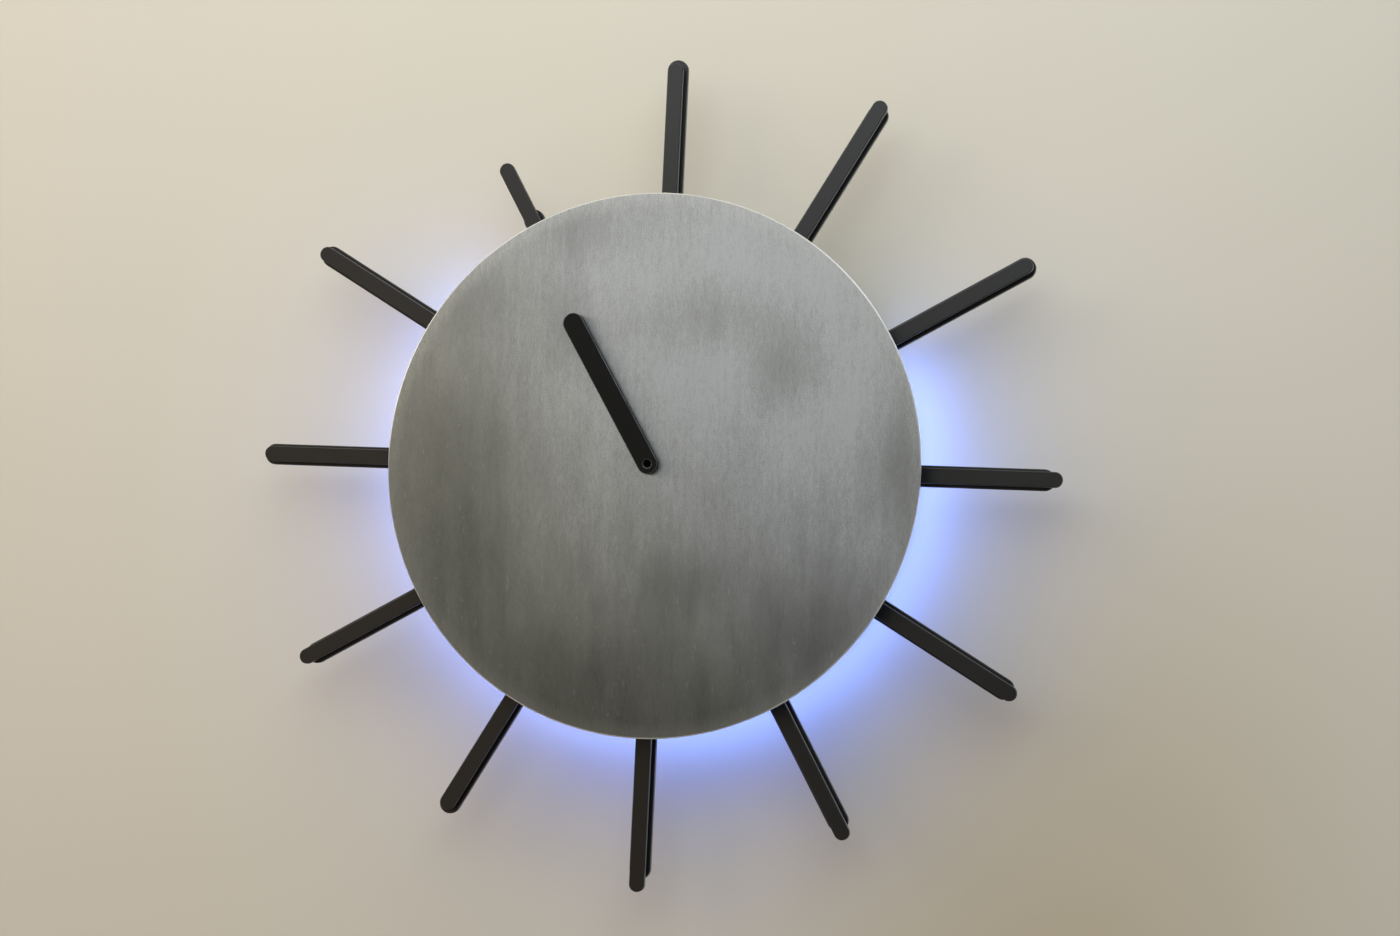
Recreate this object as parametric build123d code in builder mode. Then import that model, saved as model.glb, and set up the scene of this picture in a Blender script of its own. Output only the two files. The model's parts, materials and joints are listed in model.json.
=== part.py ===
from build123d import *
import math
import os

# A wall clock with one hand. Twelve rays stand out behind a brushed disc, and each ray is a wide bar with a
# narrow bar in front of it. A small motor behind each ray turns a stepped pinion: its large gear drives the
# rack on the wide bar and its small gear the rack on the narrow bar, so the two slide at a fixed ratio.
# Millimetres. +Z is up, the wall is the plane Y = 0 and the clock faces -Y, with its axis along Y.
# A depth is a distance out from the wall. The modelled pose has the eleventh ray drawn in.

# Depths from the wall outwards
wall_gap = 30.0
chassis_thickness = 3.0
rack_floor_gap = 3.0
rack_thickness = 3.0
bar_thickness = 4.0
bar_gap = 1.0
face_gap = 21.0
face_thickness = 2.0

# Face disc and chassis
face_diameter = 400.0
face_edge_break = 0.9
face_overhang = 18.0

# Rays
ray_count = 12
rear_bar_width = 15.7
front_bar_width = 11.4
bar_edge_break = 0.5
rear_stroke = 95.0
# How far the tips of a drawn-in ray stand past the disc's edge
rear_stub = 19.0
front_stub = 58.0
# How far out each ray stands, from one o'clock round to twelve, as a share of the stroke
rear_out_shares = (0.98, 1.0, 0.78, 0.96, 0.84, 0.89, 0.89, 0.92, 0.94, 0.98, 0.0, 0.90)
# How far each narrow bar was set past its even place when its teeth were meshed, as a share of its width
front_lead_shares = (0.47, 0.18, 0.0, 0.45, 0.32, 0.65, -0.41, 0.32, -0.15, 0.15, 0.0, -0.42)

# Stepped pinions and racks
ray_module = 1.0
rear_gear_teeth = 18
front_gear_teeth = 10
pressure_angle = 20.0
tooth_play = 0.12
rack_addendum_share = 0.55
gear_addendum_share = 0.8
root_room_share = 0.2
rack_backing = 4.0
gear_side_gap = 0.4
drive_shaft_diameter = 3.0
shaft_gap = 0.35
mesh_pitches = 2

# Ray guides
slide_gap = 0.25
guide_length = 31.0
guide_wall = 5.0
guide_cover = 3.0
guide_inset = 2.0
gear_room = 1.2
guide_screw_inset = 7.0
guide_hole_depth = 4.0

# Ray motors
ray_motor_diameter = 20.0
ray_motor_height = 10.0
motor_boss_diameter = 7.0
motor_boss_gap = 0.2
ear_thickness = 1.0
ear_width = 7.0
ear_reach = 14.0
shaft_depth_in_motor = 9.3
running_clearance = 0.05
bore_end_room = 0.5

# Small screws, one size throughout
screw_diameter = 2.5
screw_length = 6.0
screw_head_diameter = 4.5
screw_head_height = 1.6
screw_slot_width = 0.6
screw_slot_depth = 0.7
hole_clearance = 0.05

# Light
chassis_lip = 3.0
rim_wall = 2.0
rim_height = 11.0
rim_flange = 10.0
rim_flange_thickness = 1.5
rim_screw_count = 6
light_start_angle = 62.0
light_sweep = 250.0
tape_glue = 0.1
tape_thickness = 0.4
tape_width = 8.0
chip_count = 60
chip_size = 3.2
chip_height = 1.0
diffuser_depth = 5.0
diffuser_wall = 1.5

# Disc supports
support_inset = 33.0
support_count = 4
support_first_angle = 45.0
standoff_diameter = 9.0
standoff_bore = 4.4
boss_height = 5.0
face_screw_diameter = 4.0
face_screw_head_diameter = 7.5
face_screw_head_height = 2.6
face_screw_end_room = 1.0

# Wall plate, studs and pads
plate_width = 120.0
plate_drop = 70.0
plate_gap = 8.0
plate_thickness = 3.0
plate_corner = 8.0
wall_hole_diameter = 5.0
wall_hole_inset_across = 15.0
wall_hole_inset_up = 20.0
stud_angle = 15.0
stud_shoulder_diameter = 10.0
stud_neck_diameter = 6.0
stud_head_diameter = 12.0
stud_head_height = 2.0
stud_tail_diameter = 5.0
stud_play = 0.3
keyhole_drop = 14.0
keyhole_play = 0.5
pad_angle = 150.0
pad_diameter = 18.0
pad_stem_diameter = 6.0

# Hand and its movement
hand_width = 15.2
hand_margin = 74.0
hand_thickness = 4.0
hand_edge_break = 0.5
hand_angle = 329.0
hand_gap = 3.0
hand_recess_diameter = 6.3
hand_recess_depth = 1.8
hand_web = 1.0
hand_screw_diameter = 2.0
hand_screw_head_diameter = 4.4
hand_screw_head_height = 1.3
hand_screw_length = 7.0
hand_shaft_diameter = 4.0
bushing_diameter = 8.0
bushing_reach = 2.2
nut_width = 11.0
nut_thickness = 2.0
seat_clearance = 0.02
hand_module = 0.8
hour_wheel_teeth = 36
motor_pinion_teeth = 12
wheel_thickness = 3.0
collar_diameter = 7.0
collar_thickness = 1.5
collar_gap = 0.3
case_wall = 2.0
case_room = 2.3
case_depth = 17.0
case_corner = 4.0
case_post_diameter = 5.5
case_post_inset = 5.0
hand_motor_diameter = 18.0
hand_motor_height = 8.0
hand_motor_shaft_diameter = 2.0
hand_motor_bore_depth = 5.0

# Controller board and power inlet
board_width = 104.0
board_height = 70.0
board_middle = -6.0
board_thickness = 1.6
board_boss_height = 5.0
board_boss_diameter = 6.0
board_hole_inset = 4.0
chip_row_count = 6
driver_chip_length = 6.0
driver_chip_width = 4.0
driver_chip_height = 1.2
driver_row_share = 0.24
plug_row_share = 0.4
row_span_share = 0.72
plug_length = 8.0
plug_width = 5.0
plug_height = 4.0
processor_size = 10.0
processor_height = 1.4
inlet_across = 14.0
inlet_drop = 42.0
inlet_width = 10.0
inlet_length = 14.0
inlet_height = 10.0
inlet_bore_diameter = 6.4
inlet_bore_depth = 9.0
inlet_pin_diameter = 2.1

# Cuts run this far past what they cut
overrun = 1.0

# Worked out from the sizes above
chassis_front = wall_gap + chassis_thickness
rear_rack_back = chassis_front + rack_floor_gap
rear_bar_back = rear_rack_back + rack_thickness
rear_bar_front = rear_bar_back + bar_thickness
front_rack_back = rear_bar_front + bar_gap
front_bar_back = front_rack_back + rack_thickness
front_bar_front = front_bar_back + bar_thickness
face_back = front_bar_front + face_gap
face_front = face_back + face_thickness
face_radius = face_diameter / 2
chassis_radius = face_radius - face_overhang
rear_tip_in = face_radius + rear_stub
front_tip_in = face_radius + front_stub
ray_step = 360 / ray_count

stroke_ratio = front_gear_teeth / rear_gear_teeth
front_stroke = rear_stroke * stroke_ratio
rear_gear_radius = ray_module * rear_gear_teeth / 2
front_gear_radius = ray_module * front_gear_teeth / 2
gear_addendum = gear_addendum_share * ray_module
rack_addendum = rack_addendum_share * ray_module
rack_dedendum = gear_addendum + root_room_share * ray_module
tooth_pitch = math.pi * ray_module
mesh_reach = mesh_pitches * tooth_pitch
guide_start = chassis_radius - guide_inset - guide_length
guide_middle = guide_start + guide_length / 2
guide_width = rear_bar_width + 2 * (slide_gap + guide_wall)
guide_screw_offset = (rear_bar_width + guide_wall) / 2 + slide_gap
drive_reach = guide_start - gear_room - gear_addendum - rear_gear_radius
drive_offset = rear_bar_width / 2 + shaft_gap + drive_shaft_diameter / 2
rear_pitch_line = drive_offset - rear_gear_radius
front_pitch_line = drive_offset - front_gear_radius
rear_rack_edge = rear_pitch_line - rack_dedendum - rack_backing
front_rack_edge = front_pitch_line - rack_dedendum - rack_backing
rear_bar_length = rear_tip_in + rear_stroke - drive_reach + mesh_reach + rear_bar_width / 2
front_bar_length = front_tip_in + front_stroke - drive_reach + mesh_reach + front_bar_width

screw_hole_diameter = screw_diameter + 2 * hole_clearance

rim_radius = chassis_radius - chassis_lip - diffuser_depth
rim_screw_reach = rim_radius - rim_wall - rim_flange / 2
support_reach = drive_reach - support_inset
stud_across = support_reach * math.sin(math.radians(stud_angle))
stud_up = support_reach * math.cos(math.radians(stud_angle))
plate_top = drive_reach - ray_motor_diameter / 2 - plate_gap
plate_height = plate_top + plate_drop
plate_middle = (plate_top - plate_drop) / 2

wheel_radius = hand_module * hour_wheel_teeth / 2
pinion_radius = hand_module * motor_pinion_teeth / 2
hand_drop = wheel_radius + pinion_radius
base_back = face_back - case_wall
wheel_front = base_back - collar_gap - collar_thickness
wheel_back = wheel_front - wheel_thickness
case_back = face_back - case_depth
case_floor = case_back + case_wall
case_half = wheel_radius + hand_module + case_room + case_wall
case_bottom = -hand_drop - hand_motor_diameter / 2 - case_room - case_wall
case_height = case_half - case_bottom
case_middle = (case_half + case_bottom) / 2
hand_reach = face_radius - hand_margin
hand_back = face_front + hand_gap
hand_front = hand_back + hand_thickness
hand_socket_top = hand_front - hand_recess_depth - hand_web
hand_screw_seat = hand_front - hand_recess_depth
board_front = wall_gap - board_boss_height
board_back = board_front - board_thickness
inlet_up = board_middle - board_height / 2 - inlet_drop - inlet_length / 2


def place(depth, turn=0.0, across=0.0, along=0.0):
    """Plane that faces the room at a depth, with y outwards at a clock angle and x clockwise of it."""
    angle = math.radians(turn)
    outward = Vector(math.sin(angle), 0, math.cos(angle))
    clockwise = Vector(math.cos(angle), 0, -math.sin(angle))
    origin = outward * along + clockwise * across + Vector(0, -depth, 0)
    return Plane(origin=origin, x_dir=clockwise, z_dir=(0, -1, 0))


def around(count, across, along, first=0.0):
    """Places on a face plane, evenly round the axis, each turned to its own clock angle."""
    spots = []
    for number in range(count):
        turn = first + number * 360 / count
        angle = math.radians(turn)
        x = along * math.sin(angle) + across * math.cos(angle)
        y = along * math.cos(angle) - across * math.sin(angle)
        spots.append(Location((x, y, 0), (0, 0, -turn)))
    return spots


def corners(width, height, middle):
    """The four corners of a rectangle on a face plane."""
    return [Location((x * width / 2, middle + y * height / 2, 0)) for x in (-1, 1) for y in (-1, 1)]


def axis_plane(turn):
    """Plane through the clock's axis, with x outwards at a clock angle and y away from the wall."""
    angle = math.radians(turn)
    outward = (math.sin(angle), 0, math.cos(angle))
    return Plane(origin=(0, 0, 0), x_dir=outward, z_dir=(math.cos(angle), 0, -math.sin(angle)))


def rack_face(pitch_line, edge, start, end):
    """Face of a rack along y, with a tooth gap level with the pinion."""
    slope = math.tan(math.radians(pressure_angle))
    half = (tooth_pitch / 2 - tooth_play) / 2
    tip = pitch_line + rack_addendum
    root = pitch_line - rack_dedendum
    tip_half = half - rack_addendum * slope
    root_half = half + rack_dedendum * slope
    first = math.ceil((start + root_half - drive_reach - tooth_pitch / 2) / tooth_pitch)
    last = math.floor((end - root_half - drive_reach - tooth_pitch / 2) / tooth_pitch)
    points = [(edge, start), (root, start)]
    for number in range(first, last + 1):
        middle = drive_reach + tooth_pitch / 2 + number * tooth_pitch
        points.append((root, middle - root_half))
        points.append((tip, middle - tip_half))
        points.append((tip, middle + tip_half))
        points.append((root, middle + root_half))
    points += [(root, end), (edge, end)]
    with BuildSketch() as rack:
        with BuildLine():
            Polyline(*points, close=True)
        make_face()
    return rack.sketch


def gear_face(teeth, module, dedendum, first_tooth):
    """Face of a spur gear about the plane's origin, its flanks arcs through three points of the involute."""
    pitch_radius = module * teeth / 2
    base = pitch_radius * math.cos(math.radians(pressure_angle))
    tip = pitch_radius + gear_addendum_share * module
    root = pitch_radius - dedendum
    foot = max(base, root)
    pitch_half = (math.pi * module / 2 - tooth_play) / (2 * pitch_radius)

    def involute(radius):
        roll = math.acos(min(base / radius, 1))
        return math.tan(roll) - roll

    def point(radius, angle, side, flank_radius):
        spread = pitch_half + involute(pitch_radius) - involute(flank_radius)
        turn = angle + side * spread
        return (radius * math.cos(turn), radius * math.sin(turn))

    with BuildSketch() as gear:
        with BuildLine():
            for number in range(teeth):
                angle = math.radians(first_tooth) + number * 2 * math.pi / teeth
                following = angle + 2 * math.pi / teeth
                middle = (foot + tip) / 2
                right = [point(radius, angle, -1, radius) for radius in (foot, middle, tip)]
                left = [point(radius, angle, 1, radius) for radius in (tip, middle, foot)]
                ThreePointArc(*right)
                Line(right[-1], left[0])
                ThreePointArc(*left)
                next_foot = point(foot, following, -1, foot)
                if root < foot:
                    left_root = point(root, angle, 1, foot)
                    next_root = point(root, following, -1, foot)
                    Polyline(left[-1], left_root, next_root, next_foot)
                else:
                    Line(left[-1], next_foot)
        make_face()
    return gear.sketch


os.makedirs("parts", exist_ok=True)

# Wall plate: screwed to the wall, it carries the two hanger studs
wall_hole_spots = corners(
    plate_width - 2 * wall_hole_inset_across, plate_height - 2 * wall_hole_inset_up, plate_middle
)
with BuildPart() as wall_plate:
    with BuildSketch(place(0)):
        with Locations((0, plate_middle)):
            RectangleRounded(plate_width, plate_height, plate_corner)
        with Locations(*wall_hole_spots):
            Circle(wall_hole_diameter / 2, mode=Mode.SUBTRACT)
        with Locations((-stud_across, stud_up), (stud_across, stud_up)):
            Circle(stud_tail_diameter / 2 + hole_clearance, mode=Mode.SUBTRACT)
    extrude(amount=plate_thickness)
wall_plate.part.label = "wall_plate"
export_step(wall_plate.part, "parts/wall_plate.step")

# Hanger studs: a shoulder sets the chassis off the wall and a head keeps it on
with BuildPart() as hanger_studs:
    stud_steps = (
        (0, plate_thickness, stud_tail_diameter),
        (plate_thickness, wall_gap, stud_shoulder_diameter),
        (wall_gap, chassis_front + stud_play, stud_neck_diameter),
        (chassis_front + stud_play, chassis_front + stud_play + stud_head_height, stud_head_diameter),
    )
    for step_back, step_front, step_diameter in stud_steps:
        with BuildSketch(place(step_back)):
            with Locations((-stud_across, stud_up), (stud_across, stud_up)):
                Circle(step_diameter / 2)
        extrude(amount=step_front - step_back)
hanger_studs.part.label = "hanger_studs"
export_step(hanger_studs.part, "parts/hanger_studs.step")

# Places of the small screws, each set on the face that its heads seat on
guide_screw_spots = []
for side in (-1, 1):
    guide_screw_spots += around(ray_count, side * guide_screw_offset, guide_start + guide_screw_inset)
motor_screw_spots = []
for side in (-1, 1):
    motor_screw_spots += around(ray_count, drive_offset + side * ear_reach, drive_reach)
rim_screw_spots = around(rim_screw_count, 0, rim_screw_reach, ray_step / 2)
board_spots = corners(board_width - 2 * board_hole_inset, board_height - 2 * board_hole_inset, board_middle)
case_spots = corners(
    2 * (case_half - case_post_inset), case_height - 2 * case_post_inset, case_middle
)
support_spots = around(support_count, 0, support_reach, support_first_angle)
pad_spots = around(1, 0, support_reach, pad_angle) + around(1, 0, support_reach, -pad_angle)
screw_sets = (
    (wall_gap, guide_screw_spots),
    (wall_gap - ear_thickness, motor_screw_spots),
    (wall_gap - rim_flange_thickness, rim_screw_spots),
    (board_back, board_spots),
    (case_back, case_spots),
)

# Chassis plate: carries everything, and hangs on the studs by two keyholes
with BuildPart() as chassis_plate:
    with BuildSketch(place(wall_gap)):
        Circle(chassis_radius)
        with Locations(*around(ray_count, drive_offset, drive_reach)):
            Circle(motor_boss_diameter / 2 + motor_boss_gap, mode=Mode.SUBTRACT)
        with Locations(*guide_screw_spots, *motor_screw_spots, *rim_screw_spots):
            Circle(screw_hole_diameter / 2, mode=Mode.SUBTRACT)
        with Locations(*support_spots):
            Circle(standoff_bore / 2, mode=Mode.SUBTRACT)
        with Locations(*pad_spots):
            Circle(pad_stem_diameter / 2 + hole_clearance, mode=Mode.SUBTRACT)
        for side in (-1, 1):
            with Locations((side * stud_across, stud_up - keyhole_drop)):
                Circle(stud_head_diameter / 2 + keyhole_play, mode=Mode.SUBTRACT)
            with Locations((side * stud_across, stud_up - keyhole_drop / 2)):
                SlotCenterToCenter(
                    keyhole_drop, stud_neck_diameter + 2 * keyhole_play, rotation=90, mode=Mode.SUBTRACT
                )
    extrude(amount=chassis_thickness)
    with BuildSketch(place(wall_gap)):
        with Locations(*board_spots):
            Circle(board_boss_diameter / 2)
    extrude(amount=-board_boss_height)
    with BuildSketch(place(board_front)):
        with Locations(*board_spots):
            Circle(screw_hole_diameter / 2)
    extrude(amount=board_boss_height, mode=Mode.SUBTRACT)
chassis_plate.part.label = "chassis_plate"
export_step(chassis_plate.part, "parts/chassis_plate.step")

# Wall pads: rubber feet that keep the lower half off the wall, each held by its stem in the chassis
with BuildPart() as wall_pads:
    with BuildSketch(place(0)):
        with Locations(*pad_spots):
            Circle(pad_diameter / 2)
    extrude(amount=wall_gap)
    with BuildSketch(place(wall_gap)):
        with Locations(*pad_spots):
            Circle(pad_stem_diameter / 2)
    extrude(amount=chassis_thickness)
wall_pads.part.label = "wall_pads"
export_step(wall_pads.part, "parts/wall_pads.step")

# Ray guides: one block to a ray, with a tunnel that both bars and their racks run through
with BuildPart() as ray_guides:
    guide_front = front_bar_front + guide_cover
    with BuildSketch(place(chassis_front)):
        with Locations(*around(ray_count, 0, guide_middle)):
            Rectangle(guide_width, guide_length)
    extrude(amount=guide_front - chassis_front)
    rear_rack_tip = rear_pitch_line + rack_addendum
    front_rack_tip = front_pitch_line + rack_addendum
    tunnels = (
        (rear_rack_back, rear_bar_back, rear_rack_edge, rear_rack_tip),
        (rear_bar_back, rear_bar_front, -rear_bar_width / 2, rear_bar_width / 2),
        (rear_bar_front, front_bar_back, front_rack_edge, front_rack_tip),
        (front_bar_back, front_bar_front, -front_bar_width / 2, front_bar_width / 2),
    )
    for tunnel_back, tunnel_front, tunnel_left, tunnel_right in tunnels:
        tunnel_middle = (tunnel_left + tunnel_right) / 2
        tunnel_width = tunnel_right - tunnel_left + 2 * slide_gap
        with BuildSketch(place(tunnel_back - slide_gap)):
            with Locations(*around(ray_count, tunnel_middle, guide_middle)):
                Rectangle(tunnel_width, guide_length + 2 * overrun)
        extrude(amount=tunnel_front - tunnel_back + 2 * slide_gap, mode=Mode.SUBTRACT)
    with BuildSketch(place(chassis_front)):
        with Locations(*guide_screw_spots):
            Circle(screw_hole_diameter / 2)
    extrude(amount=guide_hole_depth, mode=Mode.SUBTRACT)
ray_guides.part.label = "ray_guides"
export_step(ray_guides.part, "parts/ray_guides.step")

# Ray motors: flat cans on the back of the chassis, each with two ears and a bored boss for its shaft
with BuildPart() as ray_motors:
    motor_back = wall_gap - ray_motor_height
    boss_front = chassis_front - motor_boss_gap
    with BuildSketch(place(motor_back)):
        with Locations(*around(ray_count, drive_offset, drive_reach)):
            Circle(ray_motor_diameter / 2)
    extrude(amount=ray_motor_height)
    with BuildSketch(place(wall_gap - ear_thickness)):
        with Locations(*around(ray_count, drive_offset, drive_reach)):
            SlotCenterToCenter(2 * ear_reach, ear_width)
        with Locations(*motor_screw_spots):
            Circle(screw_hole_diameter / 2, mode=Mode.SUBTRACT)
    extrude(amount=ear_thickness)
    with BuildSketch(place(wall_gap)):
        with Locations(*around(ray_count, drive_offset, drive_reach)):
            Circle(motor_boss_diameter / 2)
    extrude(amount=boss_front - wall_gap)
    with BuildSketch(place(boss_front)):
        with Locations(*around(ray_count, drive_offset, drive_reach)):
            Circle(drive_shaft_diameter / 2 + running_clearance)
    extrude(amount=-shaft_depth_in_motor - bore_end_room, mode=Mode.SUBTRACT)
ray_motors.part.label = "ray_motors"
export_step(ray_motors.part, "parts/ray_motors.step")

# Small screws: one size holds the guides, motors, light rim, board and movement cover
with BuildPart() as small_screws:
    for seat, spots in screw_sets:
        with BuildSketch(place(seat - screw_head_height)):
            with Locations(*spots):
                Circle(screw_head_diameter / 2)
        extrude(amount=screw_head_height)
        with BuildSketch(place(seat)):
            with Locations(*spots):
                Circle(screw_diameter / 2)
        extrude(amount=screw_length)
        with BuildSketch(place(seat - screw_head_height)):
            with Locations(*spots):
                Rectangle(screw_head_diameter + overrun, screw_slot_width)
        extrude(amount=screw_slot_depth, mode=Mode.SUBTRACT)
small_screws.part.label = "small_screws"
export_step(small_screws.part, "parts/small_screws.step")

# Light rim: a ring behind the chassis with a flange to screw it on
with BuildPart() as light_rim:
    rim_back = wall_gap - rim_height
    with BuildSketch(axis_plane(0)):
        with BuildLine():
            Polyline(
                (rim_radius, rim_back),
                (rim_radius, wall_gap),
                (rim_radius - rim_wall - rim_flange, wall_gap),
                (rim_radius - rim_wall - rim_flange, wall_gap - rim_flange_thickness),
                (rim_radius - rim_wall, wall_gap - rim_flange_thickness),
                (rim_radius - rim_wall, rim_back),
                close=True,
            )
        make_face()
    revolve(axis=Axis.Y)
    with BuildSketch(place(wall_gap - rim_flange_thickness)):
        with Locations(*rim_screw_spots):
            Circle(screw_hole_diameter / 2)
    extrude(amount=rim_flange_thickness, mode=Mode.SUBTRACT)
light_rim.part.label = "light_rim"
export_step(light_rim.part, "parts/light_rim.step")

# Light tape: a strip round the lower part of the rim, with its chips facing outwards
light_middle = wall_gap - rim_height / 2
with BuildPart() as light_tape:
    tape_radius = rim_radius + tape_glue
    with BuildSketch(axis_plane(light_start_angle)):
        with Locations((tape_radius + tape_thickness / 2, light_middle)):
            Rectangle(tape_thickness, tape_width)
    revolve(axis=Axis.Y, revolution_arc=light_sweep)
    chip_spots = []
    for number in range(chip_count):
        chip_turn = light_start_angle + (number + 1) * light_sweep / (chip_count + 1)
        chip_spots += around(1, 0, tape_radius + (tape_thickness + chip_height) / 2, chip_turn)
    with BuildSketch(place(light_middle - chip_size / 2)):
        with Locations(*chip_spots):
            Rectangle(chip_size, chip_height)
    extrude(amount=chip_size)
light_tape.part.label = "light_tape"
export_step(light_tape.part, "parts/light_tape.step")

# Diffuser: an opal channel that closes over the tape
with BuildPart() as light_diffuser:
    with BuildSketch(axis_plane(light_start_angle)):
        with Locations((rim_radius + diffuser_depth / 2, light_middle)):
            Rectangle(diffuser_depth, rim_height)
        with Locations((rim_radius + (diffuser_depth - diffuser_wall) / 2, light_middle)):
            Rectangle(diffuser_depth - diffuser_wall, rim_height - 2 * diffuser_wall, mode=Mode.SUBTRACT)
    revolve(axis=Axis.Y, revolution_arc=light_sweep)
light_diffuser.part.label = "light_diffuser"
export_step(light_diffuser.part, "parts/light_diffuser.step")

# Face disc: brushed sheet with blind bosses on its back, so that its front is bare
with BuildPart() as face_disc:
    with BuildSketch(place(face_back)):
        Circle(face_radius)
        Circle(bushing_diameter / 2 + hole_clearance, mode=Mode.SUBTRACT)
    extrude(amount=face_thickness)
    rim_edge = face_disc.faces().sort_by(Axis.Y)[0].edges().sort_by(SortBy.LENGTH)[-1]
    chamfer(rim_edge, face_edge_break)
    with BuildSketch(place(face_back - boss_height)):
        with Locations(*support_spots):
            Circle(standoff_diameter / 2)
            Circle(face_screw_diameter / 2 + hole_clearance, mode=Mode.SUBTRACT)
    extrude(amount=boss_height)
face_disc.part.label = "face_disc"
export_step(face_disc.part, "parts/face_disc.step")

# Standoffs: tubes between the chassis and the disc's bosses
with BuildPart() as face_standoffs:
    with BuildSketch(place(chassis_front)):
        with Locations(*support_spots):
            Circle(standoff_diameter / 2)
            Circle(standoff_bore / 2, mode=Mode.SUBTRACT)
    extrude(amount=face_back - boss_height - chassis_front)
face_standoffs.part.label = "face_standoffs"
export_step(face_standoffs.part, "parts/face_standoffs.step")

# Face screws: from behind the chassis, through the standoffs, into the disc's bosses
with BuildPart() as face_screws:
    with BuildSketch(place(wall_gap - face_screw_head_height)):
        with Locations(*support_spots):
            Circle(face_screw_head_diameter / 2)
    extrude(amount=face_screw_head_height)
    with BuildSketch(place(wall_gap)):
        with Locations(*support_spots):
            Circle(face_screw_diameter / 2)
    extrude(amount=face_back - face_screw_end_room - wall_gap)
face_screws.part.label = "face_screws"
export_step(face_screws.part, "parts/face_screws.step")

# Movement base: lies against the disc's back, with the bushing that goes through the disc
with BuildPart() as movement_base:
    with BuildSketch(place(base_back)):
        with Locations((0, case_middle)):
            RectangleRounded(2 * case_half, case_height, case_corner)
    extrude(amount=case_wall)
    with BuildSketch(place(case_floor)):
        with Locations(*case_spots):
            Circle(case_post_diameter / 2)
    extrude(amount=base_back - case_floor)
    with BuildSketch(place(face_back)):
        Circle(bushing_diameter / 2)
    extrude(amount=face_thickness + bushing_reach)
    with BuildSketch(place(base_back - overrun)):
        Circle(hand_shaft_diameter / 2 + running_clearance)
    extrude(amount=case_wall + face_thickness + bushing_reach + 2 * overrun, mode=Mode.SUBTRACT)
    with BuildSketch(place(case_floor)):
        with Locations(*case_spots):
            Circle(screw_hole_diameter / 2)
    extrude(amount=screw_length, mode=Mode.SUBTRACT)
movement_base.part.label = "movement_base"
export_step(movement_base.part, "parts/movement_base.step")

# Movement cover: a tray over the gears, and the seat of the hand's motor
with BuildPart() as movement_cover:
    with BuildSketch(place(case_back)):
        with Locations((0, case_middle)):
            RectangleRounded(2 * case_half, case_height, case_corner)
    extrude(amount=base_back - case_back)
    with BuildSketch(place(case_floor)):
        with Locations((0, case_middle)):
            RectangleRounded(
                2 * (case_half - case_wall), case_height - 2 * case_wall, case_corner - case_wall
            )
    extrude(amount=base_back - case_floor, mode=Mode.SUBTRACT)
    with BuildSketch(place(case_back)):
        with Locations(*case_spots):
            Circle(screw_hole_diameter / 2)
    extrude(amount=case_wall, mode=Mode.SUBTRACT)
movement_cover.part.label = "movement_cover"
export_step(movement_cover.part, "parts/movement_cover.step")

# Hand motor: a small can on the cover's floor
with BuildPart() as hand_motor:
    motor_front = case_floor + hand_motor_height
    with BuildSketch(place(case_floor, along=-hand_drop)):
        Circle(hand_motor_diameter / 2)
    extrude(amount=hand_motor_height)
    with BuildSketch(place(motor_front, along=-hand_drop)):
        Circle(hand_motor_shaft_diameter / 2 + running_clearance)
    extrude(amount=-hand_motor_bore_depth, mode=Mode.SUBTRACT)
hand_motor.part.label = "hand_motor"
export_step(hand_motor.part, "parts/hand_motor.step")

# Motor pinion: meshes with the hour wheel above it
hand_dedendum = (gear_addendum_share + root_room_share) * hand_module
motor_pinion_face = gear_face(motor_pinion_teeth, hand_module, hand_dedendum, 90 + 180 / motor_pinion_teeth)
with BuildPart() as motor_pinion:
    with BuildSketch(place(wheel_back, along=-hand_drop)):
        add(motor_pinion_face)
    extrude(amount=wheel_thickness)
    with BuildSketch(place(motor_front - hand_motor_bore_depth + bore_end_room, along=-hand_drop)):
        Circle(hand_motor_shaft_diameter / 2)
    extrude(amount=wheel_front - motor_front + hand_motor_bore_depth - bore_end_room)
motor_pinion.part.label = "motor_pinion"
export_step(motor_pinion.part, "parts/motor_pinion.step")

# Hour wheel: sits on the hand shaft
hour_wheel_face = gear_face(hour_wheel_teeth, hand_module, hand_dedendum, -90)
with BuildPart() as hour_wheel:
    with BuildSketch(place(wheel_back)):
        add(hour_wheel_face)
        Circle(hand_shaft_diameter / 2 + seat_clearance, mode=Mode.SUBTRACT)
    extrude(amount=wheel_thickness)
hour_wheel.part.label = "hour_wheel"
export_step(hour_wheel.part, "parts/hour_wheel.step")

# Hand shaft: runs in the bushing, with a collar against the hour wheel and a bore for the hand's screw
with BuildPart() as hand_shaft:
    with BuildSketch(place(wheel_back)):
        Circle(hand_shaft_diameter / 2)
    extrude(amount=hand_socket_top - wheel_back)
    with BuildSketch(place(wheel_front)):
        Circle(collar_diameter / 2)
    extrude(amount=collar_thickness)
    with BuildSketch(place(hand_socket_top)):
        Circle(hand_screw_diameter / 2 + seat_clearance)
    extrude(amount=-hand_screw_length, mode=Mode.SUBTRACT)
hand_shaft.part.label = "hand_shaft"
export_step(hand_shaft.part, "parts/hand_shaft.step")

# Bushing nut: clamps the movement to the disc, under the hand
with BuildPart() as bushing_nut:
    with BuildSketch(place(face_front)):
        RegularPolygon(nut_width / 2, 6, major_radius=False)
        Circle(bushing_diameter / 2 + seat_clearance, mode=Mode.SUBTRACT)
    extrude(amount=nut_thickness)
bushing_nut.part.label = "bushing_nut"
export_step(bushing_nut.part, "parts/bushing_nut.step")

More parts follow.
